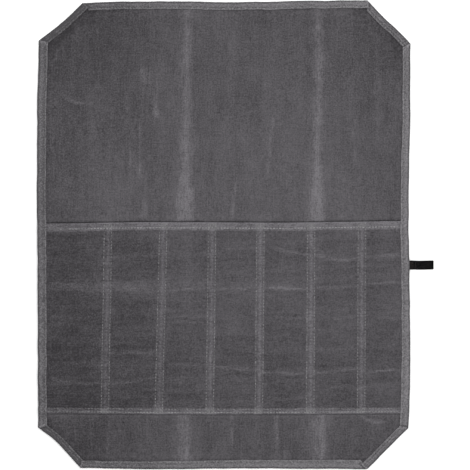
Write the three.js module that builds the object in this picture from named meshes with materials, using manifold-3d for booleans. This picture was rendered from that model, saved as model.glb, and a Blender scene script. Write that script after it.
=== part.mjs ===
// A chef's knife roll in waxed canvas, lying open and flat with its knife pockets upwards.
// Millimetres, +Z up. The origin is on the floor under the middle of the roll, +X runs across
// the pockets and +Y runs up out of their mouths, towards the plain end that folds over the handles.

import * as THREE from "three";
import { mergeVertices } from "three/addons/utils/BufferGeometryUtils.js";
import Module from "manifold-3d";

const wasm = await Module();
wasm.setup();

// The roll laid open, over its binding
const rollWidth = 430;
const rollLength = 540;
const cornerCut = 49;
const edgeDrift = 3;

// Cloth, tape and the clearance between layers that are sewn together
const canvasThick = 1;
const pocketCanvasThick = 1;
const tapeThick = 1;
const tapeWidth = 8;
const tapeFoldBevel = 0.7;
const seamGap = 0.3;

// The pocket panel, from its lower edge up to its mouth
const pocketFoot = 64.4;
const pocketLength = 220;
const mouthTilt = 3;
const footSag = 1.3;
const mouthHem = 8.3;
const footHem = 7.5;
const hemStepRun = 3;
const dividerWidth = 10;
const dividerRidge = 0.5;
const pocketLoft = 7.2;
const pocketFullness = 2.5;
const tuckClearance = 1;

// How the back panel lies: it rests on the floor inside the binding and rises in soft old folds
const edgeHold = 2;
const cornerHold = 8;
const edgeRun = 22;
const creaseRise = 1.6;
const creaseHalfWidth = 9;
const creaseClear = 8;
const creaseFade = 18;

// The black tab, sewn under the right edge
const tabUp = -35.2;
const tabWidth = 10.2;
const tabThick = 1.2;
const tabReach = 28.9;
const tabTuck = 14;
const tabEdgeBevel = 0.3;
const tabEase = 2;
const tabFade = 18;

// Mesh steps
const longestCell = 44;
const cornerSteps = 5;
const pocketSteps = 6;

// Each corner cut. cutAcross and cutUp are shares of cornerCut, and inUp and inAcross are
// shares of edgeDrift by which the cut's two ends lie inside the full width and length.
const cornerTable = [
  { name: "top_left", across: -1, up: 1, cutAcross: 1.055, cutUp: 0.976, inUp: 1.23, inAcross: 0.93 },
  { name: "top_right", across: 1, up: 1, cutAcross: 0.986, cutUp: 1.01, inUp: 0.57, inAcross: 0.13 },
  { name: "bottom_right", across: 1, up: -1, cutAcross: 0.998, cutUp: 0.965, inUp: 0.23, inAcross: 0.7 },
  { name: "bottom_left", across: -1, up: -1, cutAcross: 1.018, cutUp: 0.988, inUp: 0.8, inAcross: 0.73 },
];

// Each side, clockwise from above. bow, sway and ripple are shares of edgeDrift: how far the
// edge wanders outwards in one, two and three half waves.
const sideTable = [
  { name: "top", bow: 0.4, sway: 0, ripple: 0.3 },
  { name: "top_right", bow: 0, sway: -0.1, ripple: 0 },
  { name: "right", bow: 0.1, sway: -0.33, ripple: 0.27 },
  { name: "bottom_right", bow: -0.15, sway: -0.08, ripple: 0 },
  { name: "bottom", bow: 0.3, sway: -0.23, ripple: 0.1 },
  { name: "bottom_left", bow: -0.72, sway: 0.12, ripple: 0 },
  { name: "left", bow: 0.7, sway: -0.23, ripple: 0.1 },
  { name: "top_left", bow: -0.42, sway: 0.05, ripple: 0 },
];

// The stitched dividers between pockets. mouth and foot are shares of rollWidth from the middle.
const dividerTable = [
  { name: "divider_1", mouth: -0.308, foot: -0.314 },
  { name: "divider_2", mouth: -0.163, foot: -0.176 },
  { name: "divider_3", mouth: -0.032, foot: -0.037 },
  { name: "divider_4", mouth: 0.099, foot: 0.093 },
  { name: "divider_5", mouth: 0.237, foot: 0.232 },
  { name: "divider_6", mouth: 0.372, foot: 0.368 },
];

// How full each pocket stands, left to right, as a share of pocketLoft.
const pocketTable = [
  { name: "pocket_1", loft: 1.04 },
  { name: "pocket_2", loft: 0.98 },
  { name: "pocket_3", loft: 0.95 },
  { name: "pocket_4", loft: 0.96 },
  { name: "pocket_5", loft: 1 },
  { name: "pocket_6", loft: 0.97 },
  { name: "pocket_7", loft: 1.02 },
];

// The pockets' fullness up their length. up is a share of the cloth between the two hems, and
// the three old folds across the pockets are where it dips.
const fillTable = [
  { name: "foot", up: 0, fill: 0 },
  { name: "rise", up: 0.06, fill: 0.3 },
  { name: "shoulder", up: 0.14, fill: 0.74 },
  { name: "low_fold", up: 0.25, fill: 0.92 },
  { name: "belly", up: 0.38, fill: 1 },
  { name: "middle_fold", up: 0.53, fill: 0.94 },
  { name: "upper_fold", up: 0.7, fill: 0.92 },
  { name: "high_fold", up: 0.84, fill: 0.95 },
  { name: "mouth", up: 1, fill: 1 },
];

// Old folds that run up the back panel. across is a share of rollWidth, rise of creaseRise.
const creaseTable = [
  { name: "left_fold", across: -0.0975, rise: 1 },
  { name: "right_fold", across: 0.2557, rise: 0.9 },
];

const halfWidth = rollWidth / 2;
const halfLength = rollLength / 2;
const footY = -halfLength + pocketFoot;
const mouthY = footY + pocketLength;
const panelInset = tapeThick + seamGap;
const tuckInset = tapeWidth + tuckClearance;
const tabHalf = tabWidth / 2;
const tabInnerX = halfWidth - tabTuck;

function clampShare(t) {
  return Math.min(1, Math.max(0, t));
}

function smooth(t) {
  const c = clampShare(t);
  return c * c * (3 - 2 * c);
}

function mix(a, b, t) {
  return a + (b - a) * t;
}

// The outline: eight sides, each a straight chord with a gentle drift

function cutEnds(corner) {
  const onEnd = new THREE.Vector2(
    corner.across * (halfWidth - corner.cutAcross * cornerCut),
    corner.up * (halfLength - corner.inUp * edgeDrift),
  );
  const onSide = new THREE.Vector2(
    corner.across * (halfWidth - corner.inAcross * edgeDrift),
    corner.up * (halfLength - corner.cutUp * cornerCut),
  );
  return { onEnd, onSide };
}

function makeSides() {
  const [topLeft, topRight, bottomRight, bottomLeft] = cornerTable.map(cutEnds);
  const loop = [
    topLeft.onEnd, topRight.onEnd,
    topRight.onSide, bottomRight.onSide,
    bottomRight.onEnd, bottomLeft.onEnd,
    bottomLeft.onSide, topLeft.onSide,
  ];
  const sides = sideTable.map((row, i) => {
    const start = loop[i];
    const end = loop[(i + 1) % loop.length];
    const length = start.distanceTo(end);
    const dir = end.clone().sub(start).divideScalar(length);
    return { ...row, start, length, dir, inward: new THREE.Vector2(dir.y, -dir.x), isCut: i % 2 === 1 };
  });
  sides.forEach((side, i) => {
    const next = sides[(i + 1) % sides.length];
    const turn = Math.acos(side.dir.dot(next.dir));
    side.endSlope = Math.tan(turn / 2);
    next.startSlope = side.endSlope;
  });
  return sides;
}

const sides = makeSides();

function edgePoint(side, along, inset) {
  const t = along / side.length;
  const waves = side.bow * Math.sin(Math.PI * t)
    + side.sway * Math.sin(2 * Math.PI * t)
    + side.ripple * Math.sin(3 * Math.PI * t);
  return side.start.clone()
    .addScaledVector(side.dir, along)
    .addScaledVector(side.inward, inset - edgeDrift * waves);
}

// The x of the left or right edge at a height y, a distance inside the outline.
function sideX(name, y, inset) {
  const side = sides.find((s) => s.name === name);
  return edgePoint(side, (y - side.start.y) / side.dir.y, inset).x;
}

// The pocket panel's lower and upper edges

function footEdge(x) {
  return footY - footSag * Math.cos((Math.PI * x) / rollWidth);
}

function mouthEdge(x) {
  return mouthY + (mouthTilt * x) / rollWidth;
}

// Heights of the cloth above the floor

function edgeLift(x, y) {
  const inside = Math.min(...sides.map((side) => {
    const hold = tapeWidth + edgeHold + (side.isCut ? cornerHold : 0);
    return (x - side.start.x) * side.inward.x + (y - side.start.y) * side.inward.y - hold;
  }));
  return (tapeThick + seamGap) * (1 - smooth(inside / edgeRun));
}

function creaseLift(x, y) {
  const outsidePocket = Math.max(footY - creaseClear - y, y - mouthY - creaseClear);
  const open = smooth(outsidePocket / creaseFade);
  const rises = creaseTable.map((row) => {
    const t = Math.abs(x - row.across * rollWidth) / creaseHalfWidth;
    return row.rise * smooth(1 - t);
  });
  return creaseRise * open * Math.max(...rises);
}

function tabLift(x, y) {
  const aside = Math.abs(y - tabUp) - tabHalf - tabEase;
  const behind = tabInnerX - tabEase - x;
  return (tabThick + seamGap) * (1 - clampShare(aside / tabFade)) * (1 - clampShare(behind / tabFade));
}

// Lines on which the cloth's height changes, shared by every piece that follows it

function fillGaps(lines) {
  const sorted = [...lines].sort((a, b) => a - b);
  const out = [sorted[0]];
  for (const line of sorted.slice(1)) {
    const last = out[out.length - 1];
    const count = Math.ceil((line - last) / longestCell);
    for (let i = 1; i <= count; i += 1) {
      out.push(mix(last, line, i / count));
    }
  }
  return out;
}

function edgeLines(half) {
  const insets = [0, 0.25, 0.5, 0.75, 1].map((share) => tapeWidth + edgeHold + share * edgeRun);
  const lines = [...insets, cornerCut + cornerHold];
  return lines.flatMap((inset) => [-half + inset, half - inset]);
}

function linesAcross() {
  const creases = creaseTable.flatMap((row) => (
    [-1, -0.5, 0, 0.5, 1].map((share) => row.across * rollWidth + share * creaseHalfWidth)));
  const tab = [0, 1].map((share) => tabInnerX - tabEase - share * tabFade);
  return fillGaps([-halfWidth, halfWidth, ...edgeLines(halfWidth), ...creases, ...tab]);
}

function tabLinesUp() {
  const reach = tabHalf + tabEase;
  return [-reach - tabFade, -reach, reach, reach + tabFade].map((offset) => tabUp + offset);
}

function linesUp() {
  const fades = [0, 0.5, 1].map((share) => creaseClear + share * creaseFade);
  const pocket = fades.flatMap((gap) => [footY - gap, mouthY + gap]);
  return fillGaps([-halfLength, halfLength, ...edgeLines(halfLength), ...pocket, ...tabLinesUp()]);
}

const acrossLines = linesAcross();
const upLines = linesUp();
const netHeights = upLines.map((y) => (
  acrossLines.map((x) => edgeLift(x, y) + creaseLift(x, y) + tabLift(x, y))));

function cellAt(lines, value) {
  const next = lines.findIndex((line) => line > value);
  const cell = next < 0 ? lines.length - 2 : Math.max(0, next - 1);
  return { cell, share: clampShare((value - lines[cell]) / (lines[cell + 1] - lines[cell])) };
}

// The back panel's lower face, flat between the lines of its net.
function backUnder(x, y) {
  const across = cellAt(acrossLines, x);
  const up = cellAt(upLines, y);
  const near = netHeights[up.cell];
  const far = netHeights[up.cell + 1];
  const corner = near[across.cell];
  const opposite = far[across.cell + 1];
  if (up.share > across.share) {
    const side = far[across.cell];
    return corner + up.share * (side - corner) + across.share * (opposite - side);
  }
  const side = near[across.cell + 1];
  return corner + across.share * (side - corner) + up.share * (opposite - side);
}

// The lowest height that a layer lying on the back panel may have.
function onBack(x, y) {
  return backUnder(x, y) + canvasThick + seamGap;
}

// How many layers of the pocket panel lie under the binding's upper leg, as a height.
function tuckedHeight(y, x) {
  const foot = footEdge(x);
  const mouth = mouthEdge(x);
  const single = pocketCanvasThick + seamGap;
  const double = single + pocketCanvasThick;
  const ramp = [
    [foot - hemStepRun - tuckClearance, 0],
    [foot - tuckClearance, double],
    [foot + footHem + hemStepRun, double],
    [foot + footHem + 2 * hemStepRun, single],
    [mouth - mouthHem - 2 * hemStepRun, single],
    [mouth - mouthHem - hemStepRun, double],
    [mouth + tuckClearance, double],
    [mouth + tuckClearance + hemStepRun, 0],
  ];
  if (y <= ramp[0][0] || y >= ramp[ramp.length - 1][0]) {
    return 0;
  }
  const i = ramp.findIndex(([at]) => at > y);
  const [y0, h0] = ramp[i - 1];
  const [y1, h1] = ramp[i];
  return mix(h0, h1, (y - y0) / (y1 - y0));
}

function tuckLines(x) {
  const foot = footEdge(x);
  const mouth = mouthEdge(x);
  return [
    foot - hemStepRun - tuckClearance, foot - tuckClearance,
    foot + footHem + hemStepRun, foot + footHem + 2 * hemStepRun,
    mouth - mouthHem - 2 * hemStepRun, mouth - mouthHem - hemStepRun,
    mouth + tuckClearance, mouth + tuckClearance + hemStepRun,
  ];
}

// Solids are built from rings of points, each ring one cross-section

function signedVolume(points, triangles) {
  return triangles.reduce((sum, [a, b, c]) => (
    sum + points[a].dot(new THREE.Vector3().crossVectors(points[b], points[c])) / 6), 0);
}

// The triangles that close one end of a section, in the same turning sense as its points.
function earCap(flatten) {
  return (ring) => {
    const contour = ring.map(flatten);
    const isAnticlockwise = THREE.ShapeUtils.area(contour) > 0;
    return THREE.ShapeUtils.triangulateShape(contour, []).map(([a, b, c]) => {
      const isSame = THREE.ShapeUtils.area([contour[a], contour[b], contour[c]]) > 0 === isAnticlockwise;
      return isSame ? [a, b, c] : [a, c, b];
    });
  };
}

function loft(rings, capOf) {
  const size = rings[0].length;
  const points = rings.flat();
  const last = points.length - size;
  const triangles = [];
  for (let r = 0; r < rings.length - 1; r += 1) {
    for (let i = 0; i < size; i += 1) {
      const a = r * size + i;
      const b = r * size + ((i + 1) % size);
      triangles.push([a, b, b + size], [a, b + size, a + size]);
    }
  }
  capOf(rings[0]).forEach(([a, b, c]) => triangles.push([a, c, b]));
  capOf(rings[rings.length - 1]).forEach((corners) => triangles.push(corners.map((i) => last + i)));
  return solidGeometry(points, triangles);
}

function solidGeometry(points, triangles) {
  const isOutward = signedVolume(points, triangles) > 0;
  const geometry = new THREE.BufferGeometry();
  geometry.setAttribute("position", new THREE.Float32BufferAttribute(points.flatMap((p) => p.toArray()), 3));
  geometry.setIndex(triangles.flatMap(([a, b, c]) => (isOutward ? [a, b, c] : [a, c, b])));
  return geometry;
}

// Solids that need a cut go through the boolean library and back

function toSolid(geometry) {
  const bare = geometry.clone();
  bare.deleteAttribute("normal");
  bare.deleteAttribute("uv");
  const merged = mergeVertices(bare);
  return new wasm.Manifold(new wasm.Mesh({
    numProp: 3,
    vertProperties: new Float32Array(merged.attributes.position.array),
    triVerts: new Uint32Array(merged.index.array),
  }));
}

function fromSolid(solid) {
  const mesh = solid.getMesh();
  const geometry = new THREE.BufferGeometry();
  geometry.setAttribute("position", new THREE.BufferAttribute(new Float32Array(mesh.vertProperties), 3));
  geometry.setIndex(new THREE.BufferAttribute(new Uint32Array(mesh.triVerts), 1));
  return geometry;
}

// Distances along a side at which its cross-sections lie.
function sideStations(side) {
  if (side.isCut) {
    return Array.from({ length: cornerSteps + 1 }, (_, i) => (side.length * i) / cornerSteps);
  }
  const isLevel = Math.abs(side.dir.x) > Math.abs(side.dir.y);
  const lines = isLevel ? acrossLines : [...upLines, ...tuckLines(side.start.x)];
  const axis = isLevel ? "x" : "y";
  const inner = lines
    .map((line) => (line - side.start[axis]) / side.dir[axis])
    .filter((along) => along > tapeWidth && along < side.length - tapeWidth);
  return [0, ...inner.sort((a, b) => a - b), side.length];
}

// The distance along a side, held back from the mitre at either end.
function heldAlong(side, along, inset, trim) {
  const low = inset * side.startSlope + trim;
  const high = side.length - inset * side.endSlope - trim;
  return Math.min(high, Math.max(low, along));
}

function outlineLoop(inset) {
  return sides.flatMap((side) => sideStations(side).slice(0, -1)
    .map((along) => edgePoint(side, heldAlong(side, along, inset, 0), inset)));
}

// Pieces

// The back panel: one sheet of canvas, cut to the outline inside the binding's fold.
function backPanel() {
  const columns = acrossLines.length;
  const cells = [];
  const points = [0, canvasThick].flatMap((height) => upLines.flatMap((y) => (
    acrossLines.map((x) => new THREE.Vector3(x, y, backUnder(x, y) + height)))));
  const upper = points.length / 2;
  for (let r = 0; r < upLines.length - 1; r += 1) {
    for (let c = 0; c < columns - 1; c += 1) {
      const a = r * columns + c;
      cells.push([a, a + columns, a + columns + 1], [a, a + columns + 1, a + 1]);
      cells.push([upper + a, upper + a + columns + 1, upper + a + columns]);
      cells.push([upper + a, upper + a + 1, upper + a + columns + 1]);
    }
  }
  const rim = [
    ...acrossLines.slice(0, -1).map((_, c) => c),
    ...upLines.slice(0, -1).map((_, r) => r * columns + columns - 1),
    ...acrossLines.slice(0, -1).map((_, c) => (upLines.length - 1) * columns + columns - 1 - c),
    ...upLines.slice(0, -1).map((_, r) => (upLines.length - 1 - r) * columns),
  ];
  rim.forEach((a, i) => {
    const b = rim[(i + 1) % rim.length];
    cells.push([a, b, upper + b], [a, upper + b, upper + a]);
  });
  const reach = 10 * (canvasThick + tapeThick + tabThick + creaseRise);
  const outline = new THREE.ExtrudeGeometry(
    new THREE.Shape(outlineLoop(panelInset)),
    { depth: 2 * reach, bevelEnabled: false },
  );
  outline.translate(0, 0, -reach);
  return fromSolid(toSolid(solidGeometry(points, cells)).intersect(toSolid(outline)));
}

// One length of binding tape, folded round the panel's edge and mitred at both ends.
function bindingLength(side) {
  const trim = seamGap / 2;
  const rings = sideStations(side).map((along) => {
    const corner = (inset, height) => {
      const p = edgePoint(side, heldAlong(side, along, inset, trim), inset);
      return new THREE.Vector3(p.x, p.y, height(p));
    };
    const low = (p) => backUnder(p.x, p.y) - seamGap - tapeThick;
    const slotLow = (p) => backUnder(p.x, p.y) - seamGap;
    const rise = (p) => (side.isCut || Math.abs(side.dir.x) > Math.abs(side.dir.y)
      ? 0 : tuckedHeight(p.y, side.start.x));
    const slotHigh = (p) => onBack(p.x, p.y) + rise(p);
    const high = (p) => slotHigh(p) + tapeThick;
    return [
      corner(tapeFoldBevel, low),
      corner(tapeWidth, low),
      corner(tapeWidth, slotLow),
      corner(tapeThick, slotLow),
      corner(tapeThick, slotHigh),
      corner(tapeWidth, slotHigh),
      corner(tapeWidth, high),
      corner(tapeFoldBevel, high),
      corner(0, (p) => high(p) - tapeFoldBevel),
      corner(0, (p) => low(p) + tapeFoldBevel),
    ];
  });
  return loft(rings, earCap((p) => new THREE.Vector2(side.inward.dot(new THREE.Vector2(p.x, p.y)), p.z)));
}

// A table's value at a share, on straight lines between its rows.
function fillAt(up) {
  const i = fillTable.findIndex((row) => row.up >= up);
  if (i <= 0) {
    return fillTable[i === 0 ? 0 : fillTable.length - 1].fill;
  }
  const a = fillTable[i - 1];
  const b = fillTable[i];
  return mix(a.fill, b.fill, (up - a.up) / (b.up - a.up));
}

// The pocket panel's columns: where each lies at a height y, and how far its cloth stands up.
function pocketColumns() {
  const dividerX = (row, y) => rollWidth * mix(row.foot, row.mouth, (y - footY) / pocketLength);
  const fences = [
    { at: (y) => sideX("left", y, panelInset) },
    { at: (y) => sideX("left", y, tuckInset) },
    ...dividerTable.flatMap((row) => [-1, 0, 1].map((side) => (
      { at: (y) => dividerX(row, y) + (side * dividerWidth) / 2, ridge: side === 0 ? dividerRidge : 0 }))),
    { at: (y) => sideX("right", y, tuckInset) },
    { at: (y) => sideX("right", y, panelInset) },
  ];
  const columns = [];
  fences.forEach((fence, i) => {
    columns.push({ at: fence.at, loft: 0, ridge: fence.ridge ?? 0 });
    const pocket = (i - 1) / 3;
    if (i < fences.length - 1 && Number.isInteger(pocket) && pocket < pocketTable.length) {
      const next = fences[i + 1];
      for (let k = 1; k < pocketSteps; k += 1) {
        const share = k / pocketSteps;
        const arch = (1 - Math.abs(2 * share - 1) ** pocketFullness) ** 2;
        columns.push({
          at: (y) => mix(fence.at(y), next.at(y), share),
          loft: pocketLoft * pocketTable[pocket].loft * arch,
          ridge: 0,
        });
      }
    }
  });
  return columns;
}

// One section up the pocket panel: its outer face upwards, then its inner face back down,
// with both hems folded to the inside.
function pocketSection(column) {
  const middle = column.at(footY + pocketLength / 2);
  const foot = footEdge(middle);
  const mouth = mouthEdge(middle);
  const footHemTop = foot + footHem;
  const mouthHemFoot = mouth - mouthHem;
  const free = mouthHemFoot - footHemTop;
  const liftAt = (y) => column.ridge + column.loft * fillAt(clampShare((y - footHemTop) / free));
  const isHem = (y) => y <= footHemTop || y >= mouthHemFoot;
  const standing = (y) => (isHem(y) ? Math.max(liftAt(y), pocketCanvasThick) : liftAt(y));
  const point = (y, height) => {
    const x = column.at(y);
    return new THREE.Vector3(x, y, onBack(x, y) + standing(y) + height);
  };
  const fromTable = fillTable.slice(1, -1).map((row) => footHemTop + row.up * free);
  const steps = [footHemTop + hemStepRun, mouthHemFoot - hemStepRun];
  const freeRows = [...fromTable, ...steps, ...tabLinesUp()].sort((a, b) => a - b);
  const outer = [foot, footHemTop, ...freeRows, mouthHemFoot, mouth].map((y) => point(y, pocketCanvasThick));
  const inner = freeRows.map((y) => point(y, 0)).reverse();
  return [
    ...outer,
    point(mouth, -pocketCanvasThick),
    point(mouthHemFoot, -pocketCanvasThick),
    point(mouthHemFoot, 0),
    ...inner,
    point(footHemTop, 0),
    point(footHemTop, -pocketCanvasThick),
    point(foot, -pocketCanvasThick),
  ];
}

// The ends of the pocket panel's sections: a fan over each doubled hem and a strip between them.
function pocketCap(ring) {
  const mouth = ring.length / 2 - 2;
  const across = 2 * (mouth + 1);
  const triangles = [
    [0, 1, across - 1], [0, across - 1, across], [0, across, across + 1],
    [mouth, mouth + 1, mouth + 2], [mouth, mouth + 2, mouth + 3], [mouth, mouth + 3, mouth - 1],
  ];
  for (let i = 1; i < mouth - 1; i += 1) {
    triangles.push([i, i + 1, across - i - 1], [i, across - i - 1, across - i]);
  }
  return triangles;
}

function pocketPanel() {
  return loft(pocketColumns().map(pocketSection), pocketCap);
}

// The tab: a flat band, its inner end sewn under the roll.
function tab() {
  const reachX = sideX("right", tabUp, 0) + tabReach;
  const rings = [tabInnerX, reachX].map((x) => {
    const corner = (side, inset, z) => new THREE.Vector3(x, tabUp + side * (tabHalf - inset), z);
    return [
      corner(-1, tabEdgeBevel, 0),
      corner(1, tabEdgeBevel, 0),
      corner(1, 0, tabEdgeBevel),
      corner(1, 0, tabThick - tabEdgeBevel),
      corner(1, tabEdgeBevel, tabThick),
      corner(-1, tabEdgeBevel, tabThick),
      corner(-1, 0, tabThick - tabEdgeBevel),
      corner(-1, 0, tabEdgeBevel),
    ];
  });
  return loft(rings, earCap((p) => new THREE.Vector2(p.y, p.z)));
}

// Assembly

function clothMaterial(color, roughness) {
  return new THREE.MeshStandardMaterial({ color, roughness, metalness: 0 });
}

const canvasMaterial = clothMaterial(0x575558, 0.85);
const pocketMaterial = clothMaterial(0x525053, 0.85);
const tapeMaterial = clothMaterial(0x6d6b6e, 0.8);
const webbingMaterial = clothMaterial(0x161616, 0.6);

function piece(name, geometry, material) {
  const mesh = new THREE.Mesh(geometry, material);
  mesh.name = name;
  return mesh;
}

const roll = new THREE.Group();
roll.add(piece("back_panel", backPanel(), canvasMaterial));
roll.add(piece("pocket_panel", pocketPanel(), pocketMaterial));
sides.forEach((side) => {
  roll.add(piece(`binding_${side.name}`, bindingLength(side), tapeMaterial));
});
roll.add(piece("edge_tab", tab(), webbingMaterial));

export default roll;
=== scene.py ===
import math

import bmesh
import bpy
import numpy as np
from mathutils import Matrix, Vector


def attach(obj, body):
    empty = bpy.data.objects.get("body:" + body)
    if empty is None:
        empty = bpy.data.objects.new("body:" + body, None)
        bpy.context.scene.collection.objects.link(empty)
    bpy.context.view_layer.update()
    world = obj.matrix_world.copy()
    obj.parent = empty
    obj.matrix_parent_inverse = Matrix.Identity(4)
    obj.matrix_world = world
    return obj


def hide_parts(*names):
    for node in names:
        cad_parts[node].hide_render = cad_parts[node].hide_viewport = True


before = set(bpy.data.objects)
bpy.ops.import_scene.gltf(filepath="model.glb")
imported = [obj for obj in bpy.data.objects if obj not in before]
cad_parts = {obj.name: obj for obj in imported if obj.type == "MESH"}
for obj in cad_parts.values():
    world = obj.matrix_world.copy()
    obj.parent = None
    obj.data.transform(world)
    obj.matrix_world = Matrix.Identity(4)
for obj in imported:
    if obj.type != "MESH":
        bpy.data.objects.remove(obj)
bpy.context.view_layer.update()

# Lengths are in millimetres until a mesh is made. Heights are above the floor.
MM = 0.001

# The roll laid open, over its binding, as in the model's source
ROLL_WIDTH, ROLL_LENGTH = 430.0, 540.0
HALF_W, HALF_L = ROLL_WIDTH / 2, ROLL_LENGTH / 2
CORNER_CUT, EDGE_DRIFT = 49.0, 3.0
# How thick the two cloths are, how far apart they lie, and how wide the folded tape is
CANVAS, TAPE, GAP = 0.95, 0.95, 0.12
TAPE_W = 8.4
# How far in from the edge the tape's row of stitches runs, and the cloth's edge lies in its fold
TAPE_ROW, CLOTH_TUCK = 6.8, 1.2
FOOT_Y = -HALF_L + 64.4
POCKET_LENGTH = 220.0
MOUTH_HEM, FOOT_HEM = 8.3, 7.5
# The stitch rows of the hems: below the mouth, and above the foot
MOUTH_ROW, FOOT_ROWS = 6.2, (5.6, 1.9)
# How high a full pocket stands
LOFT = 5.4
# The tab: its middle, width, free end, hidden end and the rows of stitches across it
TAB_Y, TAB_W, TAB_END, TAB_IN = -35.3, 10.2, 242.7, 201.0
TAB_SEAMS = (216.3, 217.5, 218.7, 221.9)
# How far the binding and the tab hold the back cloth up
EDGE_LIFT, TAB_LIFT = 1.3, 1.45

# The photograph: millimetres to a pixel, the pixel that the roll's middle is at, and its width
PX = 1.1507
MID_PX = (222.95, 234.4)
VIEW_PX = 470

# The stitches' pitch, and how far apart the tape's stations lie along it, about four to a stitch
STITCH, TAPE_STEP = 3.55, 0.887
# How far the upper of two tapes reaches past the seam between them, and how much it stands up there
TAPE_REACH, TAPE_RAISED = 1.3, 0.8

# Corners: which way across and up, how far the cut runs along each side in shares of CORNER_CUT,
# and how far in its two ends lie in shares of EDGE_DRIFT
CORNERS = [
    (-1, 1, 1.088, 0.953, 1.24, 0.98),
    (1, 1, 0.995, 1.029, 0.12, -0.31),
    (1, -1, 1.001, 0.958, -0.12, 0.52),
    (-1, -1, 1.038, 0.972, 0.38, 0.67),
]

# Sides clockwise: name, bow, sway, ripple, the direction of the seam at the side's end, whether
# this side's tape lies on top there, then how wide and how light the tape is at its start and end.
SIDES = [
    ("top", 0.04, 0.25, 0.19, (0.0, -1.0), True, (9.0, 9.2), (-0.14, 0.1)),
    ("top_right", -0.09, -0.1, 0.0, (-0.82, -0.575), False, (8.9, 9.2), (-0.03, -0.03)),
    ("right", 0.0, -0.28, 0.29, (-0.98, 0.18), False, (8.9, 10.3), (0.05, 0.12)),
    ("bottom_right", -0.06, -0.08, 0.0, (-0.66, 0.75), True, (8.7, 8.8), (0.04, 0.04)),
    ("bottom", 0.07, -0.24, 0.06, (0.3, 0.95), True, (10.8, 8.6), (0.12, -0.1)),
    ("bottom_left", -0.91, 0.12, 0.0, (0.94, 0.35), False, (8.5, 8.5), (-0.24, -0.24)),
    ("left", 0.49, -0.23, 0.06, (0.92, -0.39), True, (10.2, 10.7), (-0.08, -0.12)),
    ("top_left", -0.48, 0.05, 0.0, (0.67, -0.74), True, (9.0, 8.6), (-0.3, -0.3)),
]

# How much darker the cloth is beside the tapes of the corners
CORNER_DARK = {"top_left": 0.15, "top_right": 0.09, "bottom_right": 0.05, "bottom_left": 0.05}
# How worn the line by the tape's inner edge is, where it is more than usual
INNER_WEAR = {
    "left": 0.6, "right": 0.5, "bottom": 0.45, "bottom_left": 0.6, "top_left": 0.5, "bottom_right": 0.5}
USUAL_INNER_WEAR = 0.36

# Dividers: where each crosses the mouth and the foot, in shares of the width from the middle
DIVIDERS = [
    (-0.3074, -0.3162), (-0.159, -0.172), (-0.0288, -0.0354),
    (0.1006, 0.0963), (0.2359, 0.2338), (0.372, 0.3697)]
EACH_DIVIDER = range(len(DIVIDERS))
# Half the distance between a divider's two stitch rows
BAND = 4.25
# Where the cloth has its lines of points beside a divider, closer together at the stitch rows
DIVIDER_LINES = (
    -6.8, -5.9, -5.1, -BAND, -3.4, -2.4, -1.1, 0.3, 1.6, 2.6, 3.4, BAND, 5.1, 5.9, 6.8)

# The pocket panel's mouth: how far along the roll each point of it lies from its straight line
MOUTH = [
    (-206, -0.9), (-170, -0.85), (-103, 0.1), (-42, -0.4), (14, -1.1),
    (71, -1.7), (130, -1.3), (184, -0.9), (206, -0.8)]
# How far the mouth rises from the left edge to the right one, and how far the foot's middle sags
MOUTH_RISE, FOOT_SAG = 3.0, 1.3

# How full each pocket stands, and where across it its highest line lies
POCKETS = [
    (1.04, -0.06), (0.98, 0.08), (0.95, -0.05), (0.96, 0.06), (1.0, -0.07), (0.97, 0.05), (0.9, -0.04)]
# How full they stand along their length, from the foot's hem to the mouth's
FILL = [
    (0, 0), (0.06, 0.3), (0.14, 0.74), (0.25, 0.92), (0.38, 1),
    (0.53, 0.93), (0.7, 0.9), (0.84, 0.95), (1, 1)]

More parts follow.
